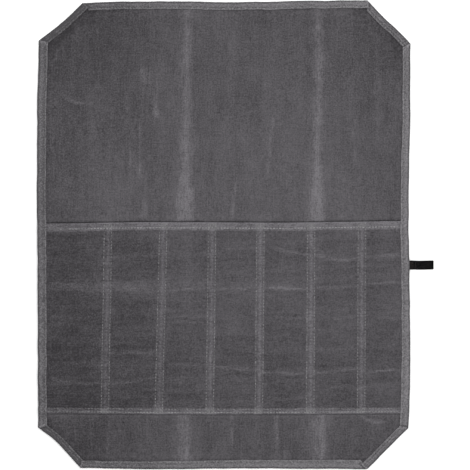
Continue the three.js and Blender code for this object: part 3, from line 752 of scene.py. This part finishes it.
def tape_line(side, share, inset, kind, offset):
    """Stations of one line of the section: share runs from 0 to 1 between the seams."""
    start, end = seam_along(side, inset, False), seam_along(side, inset, True)
    out = TAPE_REACH * smooth(inset / 3) if kind in ("high", "slot") else 0.0
    start = start - out * side.over_start + 0.12
    end = end + out * side.over_end - 0.12
    along = mix(start, end, share)
    edge_wave = 0.22 * line_noise(along, 8, 130, 3) + 0.25 * line_noise(along, 26, 131, 3)
    shift = side.wider(along, inset) + edge_wave * smooth((inset - 5.5) / 2)
    x, y = side.place(along, inset + shift)
    z = tape_height(side, along, inset, kind, offset, x, y)
    if kind == "high" and 5.5 < inset < 7.9:
        z = z - 0.2 * stitch_ends(along) * bell(inset - TAPE_ROW, 0.7)
    return x, y, z


def stitch_ends(along):
    """From 0 in a stitch's middle to 1 at the hole between two stitches."""
    return 0.5 + 0.5 * np.cos(2 * np.pi * along / STITCH)


def binding(side):
    """One side's tape, folded round the edge: its section at each station along the side."""
    share = np.linspace(0, 1, int(side.length / TAPE_STEP))
    ring = np.stack([np.stack(tape_line(side, share, *row), -1) for row in SECTION], 1)
    stations, size = ring.shape[:2]
    insets = np.array([row[0] for row in SECTION])
    is_high = np.array([row[1] == "high" for row in SECTION])
    along = share * side.length
    # Worn lines along the tape: over the fold and by the inner edge, and one more on the cuts
    inner = INNER_WEAR.get(side.name, USUAL_INNER_WEAR)
    worn = 0.16 * bell(insets - 2.9, 0.8) + inner * bell(insets - 7.3, 0.8)
    # Painted shade on the outer edge, where the fold rounds away from the light, and darker lines along
    # the upper leg
    dark = 0.32 * (1 - smooth((insets - 1.1) / 1.6)) + 0.1 * is_high * bell(insets - 5.6, 0.8)
    if side.is_cut:
        worn = worn + 0.34 * bell(insets - 4.7, 0.6)
        dark = dark + 0.24 * is_high * bell(insets - 3.6, 0.5)
        dark = dark + 0.1 * is_high * bell(insets - 5.8, 0.5)
    broken = 0.8 + 0.45 * line_noise(along, 9, 140, 1) + 0.35 * line_noise(along, 3, 141, 1)
    pale = worn * is_high * broken[:, None]
    shade = mix(*side.lights, share) + 0.07 * line_noise(along, 30, 142, 2)
    shade = shade[:, None] - dark
    # At each seam: a painted highlight along the raised end of the tape on top, and painted shade on the
    # tape beneath, beside where the upper tape covers it
    for at_end, over in ((False, side.over_start), (True, side.over_end)):
        off = np.abs(along[:, None] - seam_along(side, insets, at_end))
        if over:
            pale = pale + 0.45 * bell(off - 0.3, 1.0) * is_high
        else:
            hidden = 1 - smooth((insets - covered(side, at_end) + 1.5) / 1.0)
            shade = shade - 0.38 * bell(off - 0.8, 1.0) * is_high * hidden
    # Where the stitch row's needle holes are, for the painted shade in them
    start, end = seam_along(side, TAPE_ROW, False), seam_along(side, TAPE_ROW, True)
    pit = stitch_ends(mix(start, end, share))[:, None] * (is_high * bell(insets - TAPE_ROW, 0.7))
    faces = [strip_faces(stations, size, closed=True)]
    fields = {"pale": pale, "shade": shade, "pit": pit}
    count = stations * size
    obj = new_mesh(f"tape_{side.name}", ring.reshape(-1, 3), faces, fields)
    return outward(obj, ends=[range(size), range(count - size, count)])


# Stitches

# A stitch's form: share of its length from the middle, then its thickness and rise in its radius
STITCH_FORM = [
    (-0.5, 0.35, -0.75), (-0.4, 0.8, -0.28), (-0.2, 1.0, 0.12), (0.0, 1.04, 0.24),
    (0.2, 1.0, 0.12), (0.4, 0.8, -0.28), (0.5, 0.35, -0.75)]


def unit(v):
    return v / (np.linalg.norm(v, axis=1)[:, None] + 1e-9)


def leftward(v):
    """The level direction to the left of each one."""
    return np.stack([-v[:, 1], v[:, 0], np.zeros(len(v))], -1)


def stitch_mesh(name, rows, radius=0.36):
    """rows come from run. Each stitch is a thread that dives at both ends."""
    centre, direction, length, width, tone = (np.concatenate(part) for part in zip(*rows))
    width = width * radius
    side = unit(leftward(direction))
    up = np.cross(direction, side)
    up *= np.sign(up[:, 2:3] + 1e-9)
    corners = 6
    rings = []
    for share, thick, rise in STITCH_FORM:
        for k in range(corners):
            a = 2 * np.pi * k / corners
            p = centre + direction * (share * length)[:, None]
            p = p + side * (np.cos(a) * thick * width)[:, None]
            p = p + up * ((np.sin(a) * thick + rise) * width)[:, None]
            rings.append(p)
    points = np.stack(rings, 1)
    per = len(STITCH_FORM) * corners
    quads = strip_faces(len(STITCH_FORM), corners, closed=True)
    caps = np.array([[3, 2, 1, 0], [0, 5, 4, 3]])
    caps = np.concatenate([caps, (caps[:, ::-1] + per - corners)])
    one = np.concatenate([quads, caps])
    faces = (one[None] + (np.arange(len(points)) * per)[:, None, None]).reshape(-1, 4)
    tone = tone + 0.4 * lattice(np.arange(len(points)), np.full(len(points), 3), 9)
    tint = np.repeat(tone - 0.5 * smooth((-centre[:, 0] - 140) / 30), per)
    return outward(new_mesh(name, points.reshape(-1, 3), [faces], {"tint": tint}))


def run(points, key, seed, pitch=STITCH, length=2.8, jitter=0.12, width=1.0, tone=0.0):
    """Stitches end to end along a line of points, one around every (n + 0.5) pitch of key."""
    points = np.asarray(points)
    first, last = math.ceil(key[0] / pitch - 0.25), math.floor(key[-1] / pitch - 0.75)
    s = (np.arange(first, last + 1) + 0.5) * pitch
    wobble = lattice(np.arange(len(s)), np.full(len(s), seed), 17)
    at, ahead, behind = (
        np.stack([np.interp(s + d, key, points[:, i]) for i in range(3)], -1) for d in (0.0, 0.6, -0.6))
    d = unit(ahead - behind)
    at = at + leftward(d) * (jitter * wobble)[:, None]
    return at, d, length * (1 + 0.07 * wobble), np.full(len(s), width), np.full(len(s), tone)


def on_pocket(x, y, rise):
    """Points that stand rise above the top of the pocket cloth."""
    lift, _, _ = pocket_form(x, y)
    top = pocket_base(x, y) + CANVAS + lift - stitch_grooves(x, y) * 0.5
    return np.stack([x, y, top + rise], -1)


def pocket_stitches():
    rows = []
    ys = np.linspace(FOOT_Y - 0.6, FOOT_Y + POCKET_LENGTH - 1.2, 260)
    for k in EACH_DIVIDER:
        for n, side in enumerate((-BAND, BAND)):
            line = on_pocket(divider_x(k, ys) + side, ys, 0.03)
            rows.append(run(line, ys - FOOT_Y, seed=10 + 2 * k + n, tone=-0.15))
        # Bar tacks over the divider's ends
        for level in (mouth_y(divider_x(k, ys[-1:]))[0] - 1.3, foot_y(divider_x(k, ys[:1]))[0] + 5.4):
            for n in range(5):
                y = np.full(9, level - n * 1.05)
                x = divider_x(k, y) + np.linspace(-BAND - 0.6, BAND + 0.6, 9)
                line = on_pocket(x, y, 0.02)
                rows.append(run(line, x - x[0], 70 + n, pitch=1.9, length=1.7, jitter=0.1, width=0.8))
    xs = np.linspace(-HALF_W + TAPE_W + 2.9, HALF_W - TAPE_W - 2.2, 420)
    for n, (width, tone) in enumerate(((1.3, 0.35), (0.9, -0.2), (1.1, 0.2))):
        line = on_pocket(xs, hem_rows(xs)[n], 0.05)
        rows.append(run(line, xs, seed=40 + n, width=width, tone=tone))
    return stitch_mesh("pocket_stitches", rows)


def tape_stitches(name, kind, offset, rise, seed, reach, width=1.0, jitter=0.12, tone=0.0, radius=0.36):
    """The row of stitches round the whole binding, on its upper leg or on its lower one."""
    rows = []
    for k, side in enumerate(SIDE):
        share = np.linspace(reach, 1 - reach, int(side.length / 2))
        x, y, z = tape_line(side, share, TAPE_ROW, kind, offset)
        key = share * side.length
        if kind == "high":
            key = mix(seam_along(side, TAPE_ROW, False), seam_along(side, TAPE_ROW, True), share)
        line = np.stack([x, y, z + rise], -1)
        rows.append(run(line, key, seed=seed + k, width=width, jitter=jitter, tone=tone))
    return stitch_mesh(name, rows, radius=radius)


# The tab

def tab():
    """Black webbing folded at its free end, its two layers lying together, ribbed across."""
    thickness, nose, bulge = 0.5, 0.56, 0.31
    # The layers' middle heights, with the height that they are folded about between them
    low, fold, high = 0.3, 0.6, 0.9
    xs = np.arange(TAB_IN, TAB_END - nose, 0.3)
    bend = np.linspace(0, np.pi, 9)[1:-1]
    path = [(x, low) for x in xs]
    path += [(TAB_END - nose + bulge * np.sin(a), fold - (fold - low) * np.cos(a)) for a in bend]
    path += [(x, high) for x in xs[::-1]]
    path = np.array(path)
    d = unit(np.gradient(path, axis=0))
    normal = np.stack([d[:, 1], -d[:, 0]], -1)
    run_length = np.concatenate([[0], np.cumsum(np.linalg.norm(np.diff(path, axis=0), axis=1))])
    half = np.array([0.05, 0.2, 0.35, 0.5, 0.65, 0.8, 0.9, 0.985, 1])
    across = np.concatenate([-half[::-1], half])
    out = np.abs(across)
    selvedge = 1 - 0.75 * smooth((out - 0.93) / 0.07) + 0.25 * bell(out - 0.86, 0.06)
    rib = 0.05 * np.cos(2 * np.pi * run_length / 0.9)
    cord = 0.04 * np.cos(across * 9 * np.pi)
    weave = rib[:, None] + cord
    y = TAB_Y + across * TAB_W / 2 + 0.18 * np.sin(run_length / 5)[:, None]
    faces = []
    for sign, depth in ((1, 1), (-1, 0.4)):
        thick = (thickness / 2 + weave * depth) * selvedge
        p = path[:, None, :] + sign * normal[:, None, :] * thick[:, :, None]
        faces.append(np.stack([p[:, :, 0], y, p[:, :, 1]], -1)[:, ::sign])
    rim = np.concatenate([out, out[::-1]])
    shade = -0.7 * smooth((rim - 0.78) / 0.15) + 0.12 * smooth((218.5 - path[:, :1]) / 2)
    shade = shade - 0.8 * smooth((path[:, :1] - TAB_END + 2.4) / 1.2)
    return band_mesh("tab_webbing", np.concatenate(faces, 1), {"shade": shade})


def tab_stitches():
    rows = []
    for n, x in enumerate(TAB_SEAMS):
        ys = np.linspace(TAB_Y - TAB_W / 2 + 0.5, TAB_Y + TAB_W / 2 - 0.5, 12)
        line = np.stack([np.full(12, x), ys, np.full(12, 1.2)], -1)
        rows.append(run(line, ys - ys[0], pitch=1.7, length=1.5, jitter=0.1, seed=5 + n))
    return stitch_mesh("tab_stitches", rows, radius=0.24)


# Materials

class Nodes:
    """A material's node tree, with its coordinates in millimetres."""

    def __init__(self, name):
        self.material = bpy.data.materials.new(name)
        self.material.use_nodes = True
        self.tree = self.material.node_tree
        self.tree.nodes.clear()
        self.shader = self.add("BsdfPrincipled")
        self.add("OutputMaterial", {0: self.shader.outputs[0]})
        place = self.add("TexCoord").outputs["Object"]
        self.mm = self.add("VectorMath", {0: place, "Scale": 1000.0}, operation="SCALE").outputs[0]

    def add(self, kind, inputs=(), **settings):
        node = self.tree.nodes.new("ShaderNode" + kind)
        for key, value in settings.items():
            setattr(node, key, value)
        self.fill(node, dict(inputs))
        return node

    def fill(self, node, inputs):
        """Puts a constant in each named socket of a node, or a link from another node's socket."""
        for key, value in inputs.items():
            if isinstance(value, bpy.types.NodeSocket):
                self.tree.links.new(value, node.inputs[key])
            else:
                node.inputs[key].default_value = value

    def math(self, operation, a, b=0.0, clamped=False):
        return self.add("Math", {0: a, 1: b}, operation=operation, use_clamp=clamped).outputs[0]

    def plus(self, *terms):
        total = terms[0]
        for term in terms[1:]:
            total = self.math("ADD", total, term)
        return total

    def minus(self, a, b):
        return self.math("SUBTRACT", a, b)

    def times(self, a, b):
        return self.math("MULTIPLY", a, b)

    def field(self, name):
        return self.add("Attribute", attribute_name=name).outputs["Fac"]

    def parts(self, vector):
        return self.add("SeparateXYZ", {0: vector}).outputs

    def noise(self, size, detail=2.0, rough=0.5, stretch=None):
        """Noise from about -0.5 to 0.5 with lumps about size mm across."""
        place = self.mm
        if stretch:
            place = self.add("VectorMath", {0: place, 1: stretch}, operation="MULTIPLY").outputs[0]
        form = {"Vector": place, "Scale": 1.0 / size, "Detail": detail, "Roughness": rough}
        return self.minus(self.add("TexNoise", form).outputs["Fac"], 0.5)

    def holes(self, axis, start):
        """1 at the needle's holes along one axis, falling to 0 in each stitch's middle."""
        turn = self.times(self.minus(self.parts(self.mm)[axis], start), 2 * math.pi / STITCH)
        return self.plus(self.times(self.math("COSINE", turn), 0.5), 0.5)

    def weave(self, pitch):
        """A plain weave: raised over-threads in a chequer, each rounded across its width."""
        wobble = self.add("TexNoise", {"Vector": self.mm, "Scale": 0.25}).outputs["Color"]
        place = self.add("VectorMath", {0: self.mm, 1: wobble}, operation="ADD").outputs[0]
        parts = self.parts(place)
        sx, sy = (self.math("SINE", self.times(parts[axis], math.pi / pitch)) for axis in (0, 1))
        chequer = self.times(sx, sy)
        warp = self.times(self.math("ABSOLUTE", sx), self.math("GREATER_THAN", chequer, 0.0))
        weft = self.times(self.math("ABSOLUTE", sy), self.math("LESS_THAN", chequer, 0.0))
        return self.plus(warp, weft)

    def ramp(self, factor, dark, light):
        """The shader's colour, from dark where the factor is 0 to light where it is 1."""
        node = self.add("ValToRGB", {0: factor})
        for element, color in zip(node.color_ramp.elements, (dark, light)):
            element.color = (*color, 1)
        self.fill(self.shader, {"Base Color": node.outputs[0]})

    def bump(self, height, depth, strength):
        form = {"Strength": strength, "Distance": depth * MM, "Height": height}
        self.fill(self.shader, {"Normal": self.add("Bump", form).outputs[0]})


# How strongly each kind of detail shows in the cloth's tone, and the tone that they add to.
# PIT darkens the needle holes: painted shade in them.
SLUB, PATCH, WEAVE, PIT, CHALK, BASE_TONE = 0.34, 0.14, 0.1, 0.17, 0.55, 0.34


def cloth_material(name, dark, light, pitch, streaks, grain=1.4):
    """Waxed cloth between a dark and a light tone. streaks stretches its slubs along x or y."""
    n = Nodes(name)
    weave = n.weave(pitch)
    fine = n.noise(1.7, 4.0, 0.75)
    across = (streaks[1], streaks[0], 1)
    long = n.noise(1.4, 2.0, stretch=streaks)
    slub = n.plus(
        long, n.times(n.noise(1.2, 2.0, stretch=across), 0.7), n.times(n.noise(2.4, 3.0, 0.6), 0.6))
    patch = n.plus(n.noise(26, 3.0, 0.55), n.noise(8, 3.0, 0.6))
    # The needle holes: painted shade in the colour, and pits in the bump
    pit = n.plus(
        n.field("pit"), n.times(n.field("pit_x"), n.holes(0, 0.0)),
        n.times(n.field("pit_y"), n.holes(1, FOOT_Y)))
    tone = n.plus(
        n.times(fine, grain), n.times(slub, SLUB), n.times(patch, PATCH),
        n.times(n.minus(weave, 0.6), WEAVE), n.field("shade"))
    # The wax cracks pale where it is worn, and mostly along the threads
    chalk = n.times(n.field("pale"), n.plus(n.times(fine, 2.6), n.times(long, 1.5), 1.0))
    tone = n.plus(n.minus(tone, n.times(pit, PIT)), n.times(chalk, CHALK))
    n.ramp(n.math("ADD", tone, BASE_TONE, clamped=True), dark, light)
    rough = n.plus(n.times(patch, -0.2), 0.8)
    n.fill(n.shader, {
        "Roughness": rough, "Specular IOR Level": 0.1, "Sheen Weight": 0.02, "Sheen Roughness": 0.5})
    height = n.plus(n.times(weave, 0.5), n.times(n.noise(3.5, 3.0, 0.6), 0.9))
    n.bump(n.minus(height, n.times(pit, 1.2)), 0.16, 0.9)
    return n.material


def thread_material(name, dark, light):
    n = Nodes(name)
    tone = n.plus(n.noise(0.6, 1.0), n.times(n.field("tint"), 0.8))
    n.ramp(n.math("ADD", tone, 0.5, clamped=True), dark, light)
    n.fill(n.shader, {"Roughness": 0.65, "Specular IOR Level": 0.25})
    n.bump(n.noise(0.5, 1.0), 0.08, 0.5)
    return n.material


def webbing_material():
    n = Nodes("black_webbing")
    weave = n.weave(0.55)
    tone = n.plus(n.times(weave, 0.4), n.times(n.noise(1.8, 3.0, 0.7), 2.6), n.field("shade"))
    n.ramp(n.math("ADD", tone, 0.2, clamped=True), (0.0002, 0.0002, 0.0002), (0.0105, 0.0105, 0.0102))
    n.fill(n.shader, {"Roughness": 0.8, "Specular IOR Level": 0.03})
    n.bump(weave, 0.12, 0.8)
    return n.material


def dress(obj, material, slot, *nodes):
    obj.data.materials.clear()
    obj.data.materials.append(material)
    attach(obj, "root")
    if nodes:
        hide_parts(*nodes)
    return obj


canvas = cloth_material(
    "waxed_canvas", (0.0226, 0.0211, 0.0233), (0.125, 0.1188, 0.128), 0.85, (1, 0.1, 1))
pocket_canvas = cloth_material(
    "waxed_canvas_pocket", (0.0222, 0.0206, 0.0228), (0.1235, 0.1175, 0.127), 0.85, (0.12, 1, 1))
tape_cloth = cloth_material(
    "binding_tape", (0.0455, 0.0435, 0.0467), (0.2135, 0.2055, 0.2165), 0.7, (1, 1, 1), grain=2.0)
thread = thread_material("grey_thread", (0.07, 0.069, 0.071), (0.25, 0.246, 0.251))
tab_thread = thread_material("brown_thread", (0.012, 0.009, 0.007), (0.05, 0.04, 0.036))
webbing = webbing_material()

back = dress(back_cloth(), canvas, "canvas", "back_panel")
pocket = dress(pocket_cloth(), pocket_canvas, "pocket_canvas", "pocket_panel")
tapes = [dress(binding(s), tape_cloth, "binding_tape", f"binding_{s.name}") for s in SIDE]
seams = dress(pocket_stitches(), thread, "pocket_canvas")
edge_seams = tape_stitches("binding_stitches", "high", -0.3, 0.08, 20, 0.004, jitter=0.16, tone=-0.1)
under_seams = tape_stitches("underside_stitches", "low", 0.0, -0.02, 30, 0.006, width=0.55, radius=0.34)
for row in (edge_seams, under_seams):
    dress(row, thread, "binding_tape")
dress(tab(), webbing, "webbing", "edge_tab")
dress(tab_stitches(), tab_thread, "webbing")

# Stage, light and camera


def floor():
    n = Nodes("pale_floor")
    n.fill(n.shader, {"Base Color": (0.9, 0.9, 0.9, 1), "Roughness": 0.9, "Specular IOR Level": 0.1})
    half, level = 4000.0, -0.2
    corners = [(-half, -half, level), (half, -half, level), (half, half, level), (-half, half, level)]
    obj = new_mesh("floor", corners, [np.array([[0, 1, 2, 3]])])
    obj.data.materials.append(n.material)


def area_light(name, place, size, power):
    """A round light that shines on the roll's middle."""
    light = bpy.data.lights.new(name, "AREA")
    light.shape = "DISK"
    light.size = size
    light.energy = power
    obj = bpy.data.objects.new(name, light)
    obj.location = place
    obj.rotation_euler = (-Vector(place)).to_track_quat("-Z", "Y").to_euler()
    bpy.context.scene.collection.objects.link(obj)


def camera():
    """Straight above, and framed as the photograph is."""
    distance, sensor = 1.9, 36.0
    data = bpy.data.cameras.new("camera")
    data.sensor_width = sensor
    data.lens = sensor * distance / (VIEW_PX * PX * MM)
    data.clip_start, data.clip_end = 0.05, 50.0
    obj = bpy.data.objects.new("camera", data)
    middle = VIEW_PX / 2
    x, y = (middle - MID_PX[0]) * PX * MM, (MID_PX[1] - middle) * PX * MM
    obj.location = (x, y, distance + 0.003)
    bpy.context.scene.collection.objects.link(obj)
    bpy.context.scene.camera = obj


floor()
world = bpy.data.worlds.new("studio")
world.use_nodes = True
backdrop = world.node_tree.nodes["Background"]
backdrop.inputs["Color"].default_value = (1, 1, 1, 1)
backdrop.inputs["Strength"].default_value = 1.0
bpy.context.scene.world = world
area_light("key", (0.9, 1.0, 1.7), 1.2, 26)
area_light("fill", (-1.2, -0.4, 1.8), 1.6, 9.5)
camera()
bpy.context.scene.view_settings.view_transform = "Standard"
